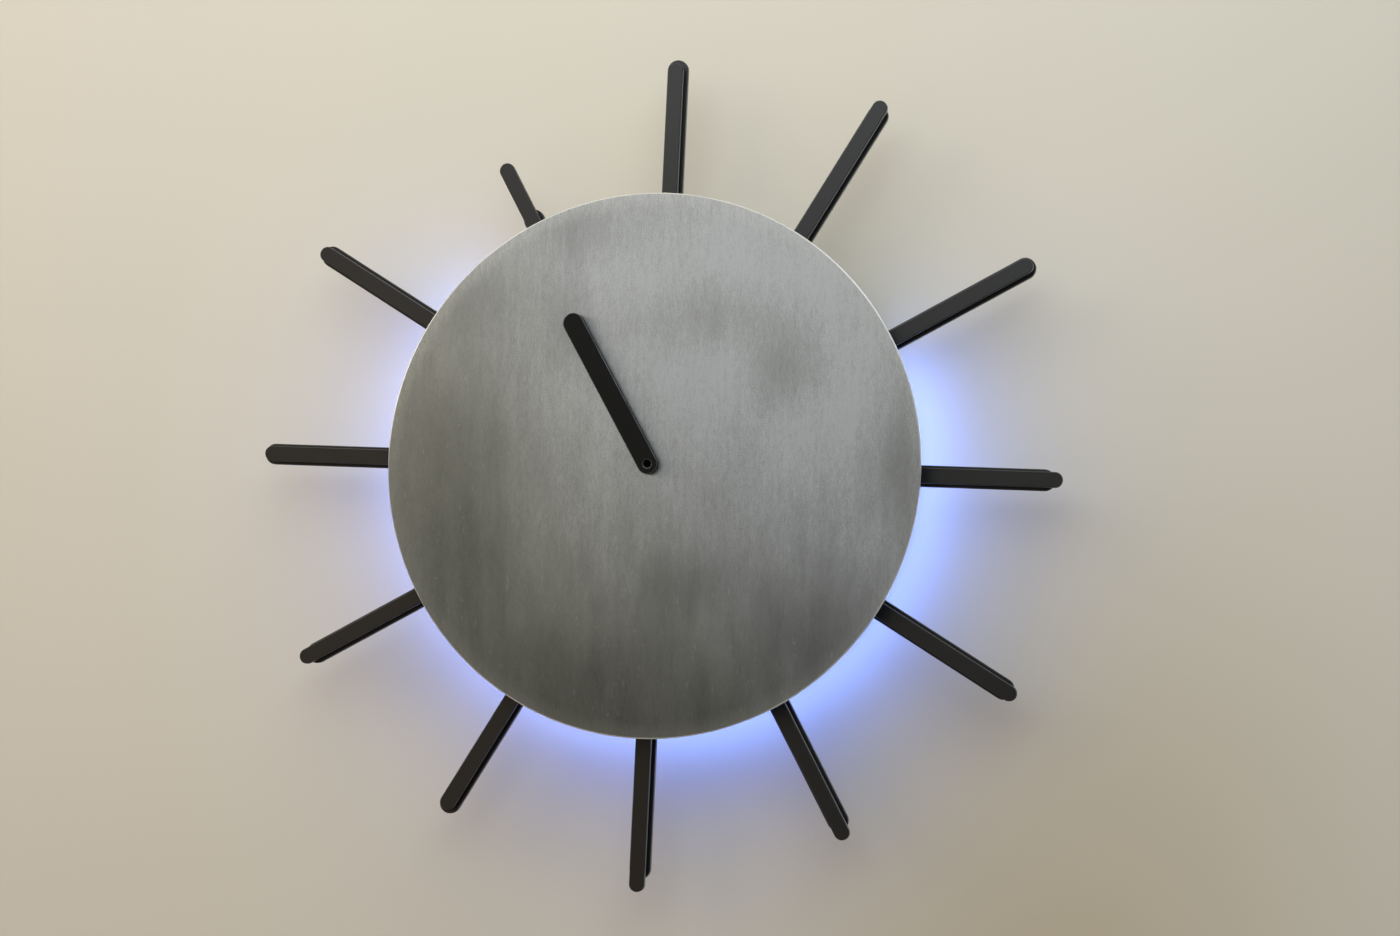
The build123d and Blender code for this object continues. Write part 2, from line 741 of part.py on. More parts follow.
# Hour hand: a flat bar with round ends, a socket for the shaft behind and a recess for its screw in front
with BuildPart() as hour_hand:
    hand_length = hand_reach + hand_width / 2
    with BuildSketch(place(hand_back, hand_angle)):
        with Locations((0, hand_reach - hand_length / 2)):
            SlotOverall(hand_length, hand_width, rotation=90)
    extrude(amount=hand_thickness)
    chamfer(hour_hand.faces().sort_by(Axis.Y)[0].edges(), hand_edge_break)
    hand_cuts = (
        (hand_back, hand_socket_top, hand_shaft_diameter + 2 * seat_clearance),
        (hand_back, hand_front, hand_screw_diameter + 2 * seat_clearance),
        (hand_screw_seat, hand_front, hand_recess_diameter),
    )
    for cut_back, cut_front, cut_diameter in hand_cuts:
        with BuildSketch(place(cut_back)):
            Circle(cut_diameter / 2)
        extrude(amount=cut_front - cut_back, mode=Mode.SUBTRACT)
    front_circles = hour_hand.faces().sort_by(Axis.Y)[0].edges().filter_by(GeomType.CIRCLE)
    recess_rim = front_circles.sort_by(SortBy.RADIUS)[0]
    chamfer(recess_rim, hand_edge_break)
hour_hand.part.label = "hour_hand"
export_step(hour_hand.part, "parts/hour_hand.step")

# Hand screw: holds the hand on its shaft, sunk in the recess
with BuildPart() as hand_screw:
    with BuildSketch(place(hand_screw_seat)):
        Circle(hand_screw_head_diameter / 2)
    extrude(amount=hand_screw_head_height)
    with BuildSketch(place(hand_screw_seat)):
        Circle(hand_screw_diameter / 2)
    extrude(amount=-hand_screw_length)
    with BuildSketch(place(hand_screw_seat + hand_screw_head_height)):
        Rectangle(hand_screw_head_diameter + overrun, screw_slot_width)
    extrude(amount=-screw_slot_depth, mode=Mode.SUBTRACT)
hand_screw.part.label = "hand_screw"
export_step(hand_screw.part, "parts/hand_screw.step")

# Controller board: on four bosses behind the chassis, with its drivers and plugs in two rows each
with BuildPart() as controller_board:
    with BuildSketch(place(board_back)):
        with Locations((0, board_middle)):
            Rectangle(board_width, board_height)
        with Locations(*board_spots):
            Circle(screw_hole_diameter / 2, mode=Mode.SUBTRACT)
    extrude(amount=board_thickness)
    board_rows = (
        (driver_row_share, driver_chip_length, driver_chip_width, driver_chip_height),
        (plug_row_share, plug_length, plug_width, plug_height),
    )
    row_step = board_width * row_span_share / (chip_row_count - 1)
    for row_share, item_length, item_width, item_height in board_rows:
        with BuildSketch(place(board_back)):
            with Locations((0, board_middle)):
                with GridLocations(row_step, 2 * row_share * board_height, chip_row_count, 2):
                    Rectangle(item_length, item_width)
        extrude(amount=-item_height)
    with BuildSketch(place(board_back)):
        with Locations((0, board_middle)):
            Rectangle(processor_size, processor_size)
    extrude(amount=-processor_height)
controller_board.part.label = "controller_board"
export_step(controller_board.part, "parts/controller_board.step")

# Power inlet: a barrel socket behind the chassis, with its mouth downwards
with BuildPart() as power_inlet:
    inlet_back = wall_gap - inlet_height
    mouth = Plane(
        origin=(inlet_across, -wall_gap + inlet_height / 2, inlet_up - inlet_length / 2), z_dir=(0, 0, 1)
    )
    with BuildSketch(place(inlet_back)):
        with Locations((inlet_across, inlet_up)):
            Rectangle(inlet_width, inlet_length)
    extrude(amount=inlet_height)
    with BuildSketch(mouth):
        Circle(inlet_bore_diameter / 2)
        Circle(inlet_pin_diameter / 2, mode=Mode.SUBTRACT)
    extrude(amount=inlet_bore_depth, mode=Mode.SUBTRACT)
power_inlet.part.label = "power_inlet"
export_step(power_inlet.part, "parts/power_inlet.step")

# Rays: for each hour a wide bar, a narrow bar and the stepped pinion between their racks
gear_dedendum = rack_addendum + root_room_share * ray_module
rear_gear_face = gear_face(rear_gear_teeth, ray_module, gear_dedendum, 180)
front_gear_face = gear_face(front_gear_teeth, ray_module, gear_dedendum, 180)
shaft_back = boss_front - shaft_depth_in_motor
for hour in range(1, ray_count + 1):
    turn = hour * ray_step
    out_share = rear_out_shares[hour - 1]
    rear_tip = rear_tip_in + rear_stroke * out_share
    front_tip = front_tip_in + front_stroke * out_share + front_bar_width * front_lead_shares[hour - 1]
    rear_rack_face = rack_face(
        rear_pitch_line,
        rear_rack_edge,
        drive_reach - mesh_reach - rear_stroke * (1 - out_share),
        drive_reach + mesh_reach + rear_stroke * out_share,
    )
    front_rack_face = rack_face(
        front_pitch_line,
        front_rack_edge,
        drive_reach - mesh_reach - front_stroke * (1 - out_share),
        drive_reach + mesh_reach + front_stroke * out_share,
    )

    with BuildPart() as rear_bar:
        with BuildSketch(place(rear_bar_back, turn, along=rear_tip - rear_bar_length / 2)):
            SlotOverall(rear_bar_length, rear_bar_width, rotation=90)
        extrude(amount=bar_thickness)
        chamfer(rear_bar.faces().sort_by(Axis.Y)[0].edges(), bar_edge_break)
        with BuildSketch(place(rear_rack_back, turn)):
            add(rear_rack_face)
        extrude(amount=rack_thickness)
    rear_bar.part.label = f"rear_bar_{hour:02d}"
    export_step(rear_bar.part, f"parts/rear_bar_{hour:02d}.step")

    with BuildPart() as front_bar:
        with BuildSketch(place(front_bar_back, turn, along=front_tip - front_bar_length / 2)):
            SlotOverall(front_bar_length, front_bar_width, rotation=90)
        extrude(amount=bar_thickness)
        chamfer(front_bar.faces().sort_by(Axis.Y)[0].edges(), bar_edge_break)
        with BuildSketch(place(front_rack_back, turn)):
            add(front_rack_face)
        extrude(amount=rack_thickness)
    front_bar.part.label = f"front_bar_{hour:02d}"
    export_step(front_bar.part, f"parts/front_bar_{hour:02d}.step")

    with BuildPart() as ray_pinion:
        with BuildSketch(place(rear_rack_back, turn, drive_offset, drive_reach)):
            add(rear_gear_face)
        extrude(amount=rack_thickness - gear_side_gap)
        with BuildSketch(place(front_rack_back, turn, drive_offset, drive_reach)):
            add(front_gear_face)
        extrude(amount=rack_thickness - gear_side_gap)
        with BuildSketch(place(shaft_back, turn, drive_offset, drive_reach)):
            Circle(drive_shaft_diameter / 2)
        extrude(amount=front_rack_back - shaft_back)
    ray_pinion.part.label = f"ray_pinion_{hour:02d}"
    export_step(ray_pinion.part, f"parts/ray_pinion_{hour:02d}.step")
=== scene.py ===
import bpy
import json
import math
from mathutils import Euler, Matrix, Vector


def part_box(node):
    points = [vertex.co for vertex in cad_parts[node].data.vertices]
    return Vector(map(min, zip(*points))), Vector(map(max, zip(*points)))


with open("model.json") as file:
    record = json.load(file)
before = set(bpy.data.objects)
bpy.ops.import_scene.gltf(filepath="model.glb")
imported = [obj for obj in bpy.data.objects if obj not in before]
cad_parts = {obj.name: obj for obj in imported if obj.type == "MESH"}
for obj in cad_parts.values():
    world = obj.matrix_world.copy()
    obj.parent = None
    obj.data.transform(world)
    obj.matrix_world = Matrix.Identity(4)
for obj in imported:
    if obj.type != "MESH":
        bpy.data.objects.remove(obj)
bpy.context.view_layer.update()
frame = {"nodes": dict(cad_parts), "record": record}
nodes = frame["nodes"]
print("frame loaded,", len(nodes), "nodes")

discLow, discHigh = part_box("face_disc")
discRadius = (discHigh.x - discLow.x) / 2
discFront = discLow.y  # the clock faces -Y and the wall is at Y = 0


def rgb(red, green, blue):
    # a colour as it looks on screen, 0 to 255, to the linear values that nodes take
    linear = []
    for part in (red, green, blue):
        share = part / 255
        linear.append(share / 12.92 if share <= 0.04045 else ((share + 0.055) / 1.055) ** 2.4)
    return (*linear, 1.0)


# camera, as the clock is seen in the photograph: a little from the right and from below
cameraView = {
    "lens": 76.99,
    "sensor": 36.0,
    "aside": 0.5128,
    "beforeDisc": 2.1214,
    "below": 0.1283,
    "turn": (93.341, -2.689, 12.455),  # degrees
}


def makeCamera():
    data = bpy.data.cameras.new("camera")
    data.lens = cameraView["lens"]
    data.sensor_fit = "HORIZONTAL"
    data.sensor_width = cameraView["sensor"]
    camera = bpy.data.objects.new("camera", data)
    bpy.context.scene.collection.objects.link(camera)
    camera.location = (cameraView["aside"], discFront - cameraView["beforeDisc"], -cameraView["below"])
    camera.rotation_euler = Euler([math.radians(angle) for angle in cameraView["turn"]], "XYZ")
    bpy.context.scene.camera = camera


makeCamera()
bpy.context.scene.view_settings.view_transform = "Standard"
print("camera placed")


# small helpers for node trees
def put(tree, kind, inputs=None, **settings):
    # a node with its settings; an input given as a socket is linked, any other is typed in
    node = tree.nodes.new(kind)
    for key, value in settings.items():
        setattr(node, key, value)
    for key, value in (inputs or {}).items():
        if isinstance(value, bpy.types.NodeSocket):
            tree.links.new(value, node.inputs[key])
        else:
            node.inputs[key].default_value = value
    return node


def reckon(tree, operation, first, second=0.0, third=0.0, clamp=False):
    inputs = {0: first, 1: second, 2: third}
    return put(tree, "ShaderNodeMath", inputs, operation=operation, use_clamp=clamp).outputs[0]


def between(tree, value, low, high, toLow=0.0, toHigh=1.0):
    # a value brought softly from one range to another, held at both ends
    inputs = {"Value": value, "From Min": low, "From Max": high, "To Min": toLow, "To Max": toHigh}
    return put(tree, "ShaderNodeMapRange", inputs, interpolation_type="SMOOTHSTEP").outputs["Result"]


def uneven(tree, tone, middle, spread):
    # a value that wavers about its middle with a tone from 0 to 1
    return reckon(tree, "MULTIPLY_ADD", tone, spread, middle - spread / 2)


def tint(tree, factor, first, second, blend="MIX"):
    inputs = {0: factor, 6: first, 7: second}
    return put(tree, "ShaderNodeMix", inputs, data_type="RGBA", blend_type=blend).outputs[2]


def noise(tree, vector, scale, detail, roughness):
    inputs = {"Vector": vector, "Scale": scale, "Detail": detail, "Roughness": roughness}
    return put(tree, "ShaderNodeTexNoise", inputs).outputs["Fac"]


def cellDistance(tree, vector, scale, spread=1.0, distance="EUCLIDEAN"):
    inputs = {"Vector": vector, "Scale": scale, "Randomness": spread}
    return put(tree, "ShaderNodeTexVoronoi", inputs, distance=distance).outputs["Distance"]


def mapped(tree, vector, scale=(1, 1, 1), turn=(0, 0, 0), shift=(0, 0, 0)):
    inputs = {"Vector": vector, "Scale": scale, "Rotation": turn, "Location": shift}
    return put(tree, "ShaderNodeMapping", inputs).outputs["Vector"]


def split(tree, vector):
    return put(tree, "ShaderNodeSeparateXYZ", {0: vector}).outputs


def joined(tree, x, y, z):
    return put(tree, "ShaderNodeCombineXYZ", {"X": x, "Y": y, "Z": z}).outputs[0]


def span(tree, vector):
    return put(tree, "ShaderNodeVectorMath", {0: vector}, operation="LENGTH").outputs["Value"]


def fromAxis(tree, spot):
    # how far a place is from the clock's axis
    return span(tree, joined(tree, spot["X"], 0.0, spot["Z"]))


def steepness(tree, normal):
    # 1 on what faces the front or the back, 0 on what faces sideways
    return reckon(tree, "ABSOLUTE", split(tree, normal)["Y"])


def bump(tree, height, strength, distance):
    inputs = {"Height": height, "Strength": strength, "Distance": distance}
    return put(tree, "ShaderNodeBump", inputs).outputs["Normal"]


def newGroup(name, inputs, outputs):
    # an effect with named sockets: returns its tree and the sockets at its two ends
    tree = bpy.data.node_groups.new(name, "ShaderNodeTree")
    for label, kind, value in inputs:
        socket = tree.interface.new_socket(name=label, in_out="INPUT", socket_type="NodeSocket" + kind)
        if value is not None:
            socket.default_value = value
    for label in outputs:
        tree.interface.new_socket(name=label, in_out="OUTPUT", socket_type="NodeSocketFloat")
    start = tree.nodes.new("NodeGroupInput")
    end = tree.nodes.new("NodeGroupOutput")
    return tree, start.outputs, end.inputs


def give(tree, result, **values):
    for key, value in values.items():
        tree.links.new(value, result[key])


def effect(tree, group, **inputs):
    return put(tree, "ShaderNodeGroup", inputs, node_tree=group).outputs


def newMaterial(name, sockets):
    # a Principled material and its coordinates; the constants go on the shader's own sockets
    material = bpy.data.materials.new(name)
    material.use_nodes = True
    tree = material.node_tree
    tree.nodes.clear()
    out = tree.nodes.new("ShaderNodeOutputMaterial")
    shader = put(tree, "ShaderNodeBsdfPrincipled", sockets)
    tree.links.new(shader.outputs["BSDF"], out.inputs["Surface"])
    where = put(tree, "ShaderNodeTexCoord").outputs
    return material, tree, shader, where


def feed(tree, shader, **outputs):
    # links values to the shader; names have no spaces here
    sockets = {
        "color": "Base Color",
        "roughness": "Roughness",
        "metallic": "Metallic",
        "glow": "Emission Color",
        "normal": "Normal",
    }
    for key, value in outputs.items():
        tree.links.new(value, shader.inputs[sockets[key]])


# effect: fine straight lines along Z, with a tone, a few deeper scratches, and a height
grainLook = {
    "broadScale": 0.35,  # of the broad lines, against the fine ones
    "broadShare": 0.3,
    "scratchScale": (0.5, 0.5, 0.6),
    "scratchShift": (3.1, 7.7, 1.3),
    "scratchRange": (0.68, 0.78),  # noise values where a scratch starts and where it is full
    "scratchDepth": 0.6,
}


def makeGrain():
    tree, given, result = newGroup(
        "brushedGrain",
        [("Vector", "Vector", None), ("Across", "Float", 900.0), ("Along", "Float", 9.0)],
        ["Lines", "Scratches", "Height"],
    )
    scale = joined(tree, given["Across"], given["Across"], given["Along"])
    inputs = {0: given["Vector"], 1: scale}
    stretched = put(tree, "ShaderNodeVectorMath", inputs, operation="MULTIPLY").outputs[0]
    fine = noise(tree, stretched, 1.0, detail=3.0, roughness=0.6)
    broad = noise(tree, stretched, grainLook["broadScale"], detail=2.0, roughness=0.5)
    lines = reckon(tree, "MULTIPLY", fine, 1 - grainLook["broadShare"])
    lines = reckon(tree, "MULTIPLY_ADD", broad, grainLook["broadShare"], lines)
    moved = mapped(tree, stretched, grainLook["scratchScale"], shift=grainLook["scratchShift"])
    rare = noise(tree, moved, 1.0, detail=1.0, roughness=0.4)
    scratches = between(tree, rare, *grainLook["scratchRange"])
    depth = reckon(tree, "MULTIPLY", scratches, grainLook["scratchDepth"])
    height = reckon(tree, "SUBTRACT", lines, depth)
    give(tree, result, Lines=lines, Scratches=scratches, Height=height)
    return tree


# effect: the small even roughness of anodising, coating and moulded plastic
speckleLook = {
    "largeScale": 0.02,  # of the soft clouds, against the specks
    "largeShare": 0.65,
}


def makeSpeckle():
    tree, given, result = newGroup(
        "fineSpeckle",
        [("Vector", "Vector", None), ("Scale", "Float", 1500.0)],
        ["Tone", "Height"],
    )
    small = noise(tree, given["Vector"], given["Scale"], detail=2.0, roughness=0.6)
    largeScale = reckon(tree, "MULTIPLY", given["Scale"], speckleLook["largeScale"])
    large = noise(tree, given["Vector"], largeScale, detail=3.0, roughness=0.55)
    tone = reckon(tree, "MULTIPLY", small, 1 - speckleLook["largeShare"])
    tone = reckon(tree, "MULTIPLY_ADD", large, speckleLook["largeShare"], tone)
    give(tree, result, Tone=tone, Height=small)
    return tree


# effect: bare metal along the broken edges, which lean 45 degrees to the front, worn unevenly
edgeLook = {
    "leanStart": (0.5, 0.62),  # steepness where an edge starts and where it is full
    "leanEnd": (0.92, 0.8),
    "patchScale": 55.0,
    "patches": (0.35, 0.7, 0.35, 1.0),  # noise from and to, and the wear there
}


def makeRubbedEdge():
    tree, given, result = newGroup(
        "rubbedEdge",
        [("Vector", "Vector", None), ("Normal", "Vector", None), ("Wear", "Float", 0.5)],
        ["Mask"],
    )
    lean = steepness(tree, given["Normal"])
    start = between(tree, lean, *edgeLook["leanStart"])
    slanted = reckon(tree, "MULTIPLY", start, between(tree, lean, *edgeLook["leanEnd"]))
    patches = noise(tree, given["Vector"], edgeLook["patchScale"], detail=3.0, roughness=0.6)
    worn = reckon(tree, "MULTIPLY", slanted, between(tree, patches, *edgeLook["patches"]))
    give(tree, result, Mask=reckon(tree, "MULTIPLY", worn, given["Wear"], clamp=True))
    return tree


# effect: a thin film that gathers on what faces up
dustLook = {
    "color": rgb(150, 146, 138),
    "facing": (0.2, 0.95),  # how far a face looks up, where the film starts and where it is full
    "patchScale": 120.0,
    "patches": (0.3, 0.75, 0.3, 1.0),  # noise from and to, and the film there
}


def makeDust():
    tree, given, result = newGroup(
        "dustFilm",
        [("Vector", "Vector", None), ("Normal", "Vector", None), ("Amount", "Float", 0.3)],
        ["Mask"],
    )
    facing = between(tree, split(tree, given["Normal"])["Z"], *dustLook["facing"])
    patches = noise(tree, given["Vector"], dustLook["patchScale"], detail=4.0, roughness=0.65)
    film = reckon(tree, "MULTIPLY", facing, between(tree, patches, *dustLook["patches"]))
    give(tree, result, Mask=reckon(tree, "MULTIPLY", film, given["Amount"], clamp=True))
    return tree


brushedGrain = makeGrain()
fineSpeckle = makeSpeckle()
rubbedEdge = makeRubbedEdge()
dustFilm = makeDust()
print("shared effects made")

# brushed disc
disc = {
    "light": rgb(240, 242, 242),
    "dark": rgb(122, 124, 121),
    "warm": rgb(255, 248, 229),
    "edge": rgb(248, 249, 249),
    "edgeLean": (0.98, 0.9),  # steepness where the broken edge starts and where it is full
    "roughness": 0.3,
    "smoother": 0.04,  # how much smoother it is where nothing is added
    "roughBy": (0.12, 0.1, 0.25),  # added by shade, lines and rim
    "anisotropy": 0.85,
    "bump": (0.18, 0.0002),
    "grainTurn": 2.0,  # degrees that the grain leans from the clock's upright
    "grain": {"Across": 900.0, "Along": 260.0},
    "speckle": 1000.0,
    "bands": (230, 230, 13),
    "bandShare": 0.3,
    "fineMiddle": 1.15,  # mean of speckle, lines and bands
    "contrast": (0.7, 0.1, 0.2, 0.8),  # shade from and to, and how much of these shows there
    "scratchShare": 0.15,
    "warmWay": (-1.0, -0.8),  # across and up, towards where the finish is warmer
    "warmFrom": -0.4,  # share of the radius that way
    "warmShare": 0.85,
    "rimStart": 0.93,  # share of the radius from where a painted highlight lightens the colour towards the rim
    "rimLift": 0.5,  # share of the shade that the painted highlight takes away at the rim, in the upper half
    "rimHeights": (-0.2, 0.4),  # shares of the radius where the lift is least and where it is full
    "rimLeast": 0.4,
    "mottle": (17, 17, 13),
    "mottleShift": (0.3, 0, 0.8),
    "mottleRange": (0.32, 0.75),
    "mottleDepth": 0.13,
    "streaks": (58, 58, 18),
    "raggedness": 0.34,  # how far the streaks fray a cloud
    "cloudEdge": 1.2,
    # darker clouds, partly real mottling of the finish and partly painted shade, deepest at the bottom and
    # the left: across, up, half width, half height and depth, in shares of the radius
    "cloudsAndPaintedShade": (
        (-1.15, 0.05, 1.05, 1.60, 0.62),
        (0.00, -1.20, 1.90, 1.25, 0.92),
        (-0.70, -0.20, 0.27, 0.62, 0.40),
        (0.24, 0.54, 0.42, 0.17, 0.24),
        (-0.36, 0.55, 0.16, 0.30, 0.28),
        (-0.66, 0.60, 0.22, 0.25, 0.20),
        (-0.30, 0.86, 0.24, 0.15, 0.26),
        (-0.34, 1.20, 0.85, 0.55, 0.30),
        (0.50, 0.36, 0.20, 0.21, 0.34),
        (0.98, -0.03, 0.22, 0.55, 0.52),
        (0.13, -0.45, 0.18, 0.16, 0.30),
        (0.25, -0.39, 0.12, 0.14, 0.14),
        (-0.28, -0.77, 0.30, 0.20, 0.34),
        (0.70, -0.66, 0.40, 0.34, 0.42),
    ),
}


def discCloudsAndPaintedShade(tree, turned):
    # soft clouds over a faint mottle, each a stretched round patch with streaks along the grain; the clouds
    # are partly painted shade
    streaks = noise(tree, mapped(tree, turned, disc["streaks"]), 1.0, detail=3.0, roughness=0.5)
    moved = mapped(tree, turned, disc["mottle"], shift=disc["mottleShift"])
    mottle = noise(tree, moved, 1.0, detail=3.0, roughness=0.45)
    shade = reckon(tree, "MULTIPLY", between(tree, mottle, *disc["mottleRange"]), disc["mottleDepth"])
    for across, up, halfWidth, halfHeight, depth in disc["cloudsAndPaintedShade"]:
        size = (1 / (halfWidth * discRadius), 0, 1 / (halfHeight * discRadius))
        centred = mapped(tree, turned, size, shift=(-across / halfWidth, 0, -up / halfHeight))
        far = reckon(tree, "SUBTRACT", span(tree, centred), disc["raggedness"] / 2)
        ragged = reckon(tree, "MULTIPLY_ADD", streaks, disc["raggedness"], far)
        cloud = between(tree, ragged, disc["cloudEdge"], 0.0, 0.0, depth)
        bright = reckon(tree, "SUBTRACT", 1.0, shade)
        shade = reckon(tree, "ADD", shade, reckon(tree, "MULTIPLY", cloud, bright))
    return shade


def discRimHighlight(tree, spot):
    # a painted highlight: how far the shade thins out towards the rim, most in the upper half
    reach = fromAxis(tree, spot)
    paintedRimHighlight = between(tree, reach, disc["rimStart"] * discRadius, discRadius, 0.0, disc["rimLift"])
    low, high = (share * discRadius for share in disc["rimHeights"])
    return reckon(tree, "MULTIPLY", paintedRimHighlight, between(tree, spot["Z"], low, high, disc["rimLeast"], 1.0))


def makeDisc():
    sockets = {"Metallic": 1.0, "Anisotropic": disc["anisotropy"], "Roughness": disc["roughness"]}
    material, tree, shader, where = newMaterial("discBrushed", sockets)
    turned = mapped(tree, where["Object"], turn=(0, math.radians(disc["grainTurn"]), 0))
    spot = split(tree, where["Object"])
    grain = effect(tree, brushedGrain, Vector=turned, **disc["grain"])
    # the colour's shade: real mottling and painted shade from the clouds, thinned by a painted highlight at
    # the rim
    paintedRimHighlight = discRimHighlight(tree, spot)
    shade = reckon(tree, "MULTIPLY", discCloudsAndPaintedShade(tree, turned), reckon(tree, "SUBTRACT", 1.0, paintedRimHighlight))
    # the lines, a speckle and soft bands show most where the shade, partly painted, is least
    speckle = effect(tree, fineSpeckle, Vector=where["Object"], Scale=disc["speckle"])
    bands = noise(tree, mapped(tree, turned, disc["bands"]), 1.0, detail=2.0, roughness=0.5)
    fine = reckon(tree, "ADD", speckle["Height"], grain["Lines"])
    fine = reckon(tree, "MULTIPLY_ADD", bands, disc["bandShare"], fine)
    fine = reckon(tree, "SUBTRACT", fine, disc["fineMiddle"])
    contrast = between(tree, shade, *disc["contrast"])
    streaked = reckon(tree, "MULTIPLY_ADD", fine, contrast, shade, clamp=True)
    color = tint(tree, streaked, disc["light"], disc["dark"])
    # warmer towards the lower left, with light scratches and a bright broken edge
    across, up = disc["warmWay"]
    warmer = reckon(tree, "MULTIPLY_ADD", spot["X"], across, reckon(tree, "MULTIPLY", spot["Z"], up))
    warmth = between(tree, warmer, disc["warmFrom"] * discRadius, discRadius, 0.0, disc["warmShare"])
    color = tint(tree, warmth, color, disc["warm"], "MULTIPLY")
    scratches = reckon(tree, "MULTIPLY", grain["Scratches"], disc["scratchShare"])
    color = tint(tree, scratches, color, disc["light"])
    lean = steepness(tree, where["Normal"])
    color = tint(tree, between(tree, lean, *disc["edgeLean"]), color, disc["edge"])
    byShade, byLines, byRim = disc["roughBy"]
    rough = reckon(tree, "MULTIPLY_ADD", shade, byShade, disc["roughness"] - disc["smoother"])
    rough = reckon(tree, "MULTIPLY_ADD", grain["Lines"], byLines, rough)
    rough = reckon(tree, "MULTIPLY_ADD", paintedRimHighlight, byRim, rough)
    feed(tree, shader, color=color, roughness=rough, normal=bump(tree, grain["Height"], *disc["bump"]))
    # highlights spread across the grain
    tree.links.new(joined(tree, 1.0, 0.0, 0.0), shader.inputs["Tangent"])
    return material


# black anodised bars and hand
blackBars = {
    "color": rgb(15, 14, 13),
    "lighter": 1.7,  # the second tone, against the first
    "worn": rgb(150, 152, 156),
    "wear": 0.12,
    "dusty": 0.05,
    "dustRough": 0.5,
    "roughness": 0.35,
    "roughSpread": 0.14,
    "specular": 0.42,
    "speckle": 2600.0,
    "bump": (0.12, 0.0001),
}
blackHand = dict(blackBars, color=rgb(8, 8, 8), roughness=0.5, specular=0.13, wear=0.55)


def makeAnodised(name, look):
    sockets = {"Metallic": 0.0, "Specular IOR Level": look["specular"], "Roughness": look["roughness"]}
    material, tree, shader, where = newMaterial(name, sockets)
    speckle = effect(tree, fineSpeckle, Vector=where["Object"], Scale=look["speckle"])
    rubbed = effect(tree, rubbedEdge, Vector=where["Object"], Normal=where["Normal"], Wear=look["wear"])
    film = effect(tree, dustFilm, Vector=where["Object"], Normal=where["Normal"], Amount=look["dusty"])
    second = tuple(part * look["lighter"] for part in look["color"][:3]) + (1.0,)
    color = tint(tree, speckle["Tone"], look["color"], second)
    color = tint(tree, rubbed["Mask"], color, look["worn"])
    color = tint(tree, film["Mask"], color, dustLook["color"])
    rough = uneven(tree, speckle["Tone"], look["roughness"], look["roughSpread"])
    rough = reckon(tree, "MULTIPLY_ADD", film["Mask"], look["dustRough"], rough)
    normal = bump(tree, speckle["Height"], *look["bump"])
    feed(tree, shader, color=color, roughness=rough, metallic=rubbed["Mask"], normal=normal)
    return material


# plain finishes: base colour, second tone, metallic, roughness, grain size, bump and dust
plainFinishes = {
    "plate_black": (rgb(32, 32, 34), rgb(60, 60, 62), 0.0, 0.5, 800.0, 0.6, 0.15),
    "guide_plastic": (rgb(36, 36, 38), rgb(50, 50, 52), 0.0, 0.5, 1700.0, 0.2, 0.1),
    "movement_plastic": (rgb(44, 44, 47), rgb(57, 57, 60), 0.0, 0.45, 1700.0, 0.2, 0.1),
    "rubber": (rgb(30, 30, 30), rgb(52, 51, 49), 0.0, 0.8, 900.0, 0.4, 0.25),
}
plainRoughSpread = 0.16
plainBumpHeight = 0.0002


def makePlain(name, look):
    first, second, metallic, roughness, scale, rise, dusty = look
    material, tree, shader, where = newMaterial(name, {"Metallic": metallic, "Roughness": roughness})
    speckle = effect(tree, fineSpeckle, Vector=where["Object"], Scale=scale)
    film = effect(tree, dustFilm, Vector=where["Object"], Normal=where["Normal"], Amount=dusty)
    color = tint(tree, speckle["Tone"], first, second)
    color = tint(tree, film["Mask"], color, dustLook["color"])
    rough = uneven(tree, speckle["Tone"], roughness, plainRoughSpread)
    normal = bump(tree, speckle["Height"], rise, plainBumpHeight)
    feed(tree, shader, color=color, roughness=rough, normal=normal)
    return material


# turned and rolled metals: base colour, stained tone, its share, roughness, the grain's scale across
# and along, and its turn in degrees
metalFinishes = {
    "steel": (rgb(196, 197, 200), rgb(150, 146, 138), 0.6, 0.3, 1600.0, 40.0, 90),
    "motor_steel": (rgb(186, 187, 190), rgb(146, 146, 148), 0.6, 0.32, 1100.0, 30.0, 90),
    "standoff_aluminium": (rgb(205, 206, 208), rgb(170, 171, 172), 0.6, 0.3, 60.0, 2500.0, 90),
    "chassis_aluminium": (rgb(208, 209, 211), rgb(158, 159, 160), 0.22, 0.4, 600.0, 16.0, 0),
    "brass": (rgb(214, 180, 108), rgb(150, 112, 58), 0.6, 0.3, 1500.0, 60.0, 90),
    "blackened": (rgb(9, 9, 10), rgb(4, 4, 4), 0.6, 0.5, 1500.0, 60.0, 90),
}
metalShared = {
    "stainScale": 85.0,
    "stainRange": (0.45, 0.75),
    "stainRough": 0.25,
    "lineShare": 0.35,
    "bump": (0.15, 0.0001),
}


def makeMetal(name, look):
    first, stain, share, roughness, across, along, turn = look
    material, tree, shader, where = newMaterial(name, {"Metallic": 1.0, "Roughness": roughness})
    turned = mapped(tree, where["Object"], turn=(math.radians(turn), 0, 0))
    grain = effect(tree, brushedGrain, Vector=turned, Across=across, Along=along)
    patches = noise(tree, where["Object"], metalShared["stainScale"], detail=4.0, roughness=0.6)
    stains = between(tree, patches, *metalShared["stainRange"])
    color = tint(tree, reckon(tree, "MULTIPLY", stains, share), first, stain)
    lines = reckon(tree, "MULTIPLY", grain["Lines"], metalShared["lineShare"])
    color = tint(tree, lines, color, stain)
    rough = reckon(tree, "MULTIPLY_ADD", stains, share * metalShared["stainRough"], roughness)
    normal = bump(tree, grain["Height"], *metalShared["bump"])
    feed(tree, shader, color=color, roughness=rough, normal=normal)
    return material


